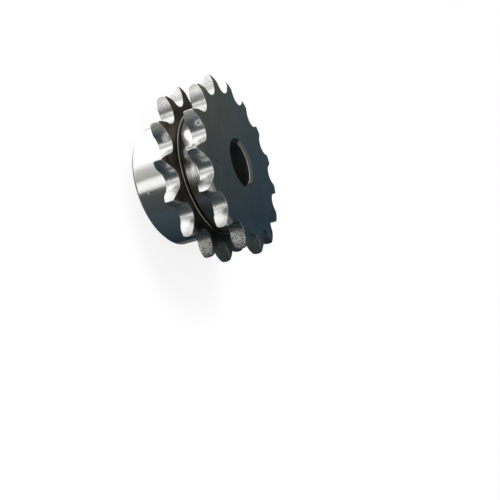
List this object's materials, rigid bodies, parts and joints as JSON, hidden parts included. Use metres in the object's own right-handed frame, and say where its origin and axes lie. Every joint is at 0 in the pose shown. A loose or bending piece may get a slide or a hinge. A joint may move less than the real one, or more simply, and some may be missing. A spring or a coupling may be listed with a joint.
{
  "type": "chain sprocket",
  "caption": "Duplex roller chain sprocket with paired rows of teeth, a groove between them, a plain hub on one side and a chamfered through bore.",
  "frame": {"origin": "centre of the bore at the hub's end face, which the part stands on", "axes": "+Z along the bore, from the hub end to the toothed face; the middle of one tooth lies on +X"},
  "size_m": [0.0998, 0.1004, 0.0492],
  "materials": {
    "machined_steel": "turned and hobbed bare steel with a dark oily film, small pits and light rust stains"
  },
  "bodies": {
    "root": {"sprocket": "machined_steel"}
  },
  "joints": []
}
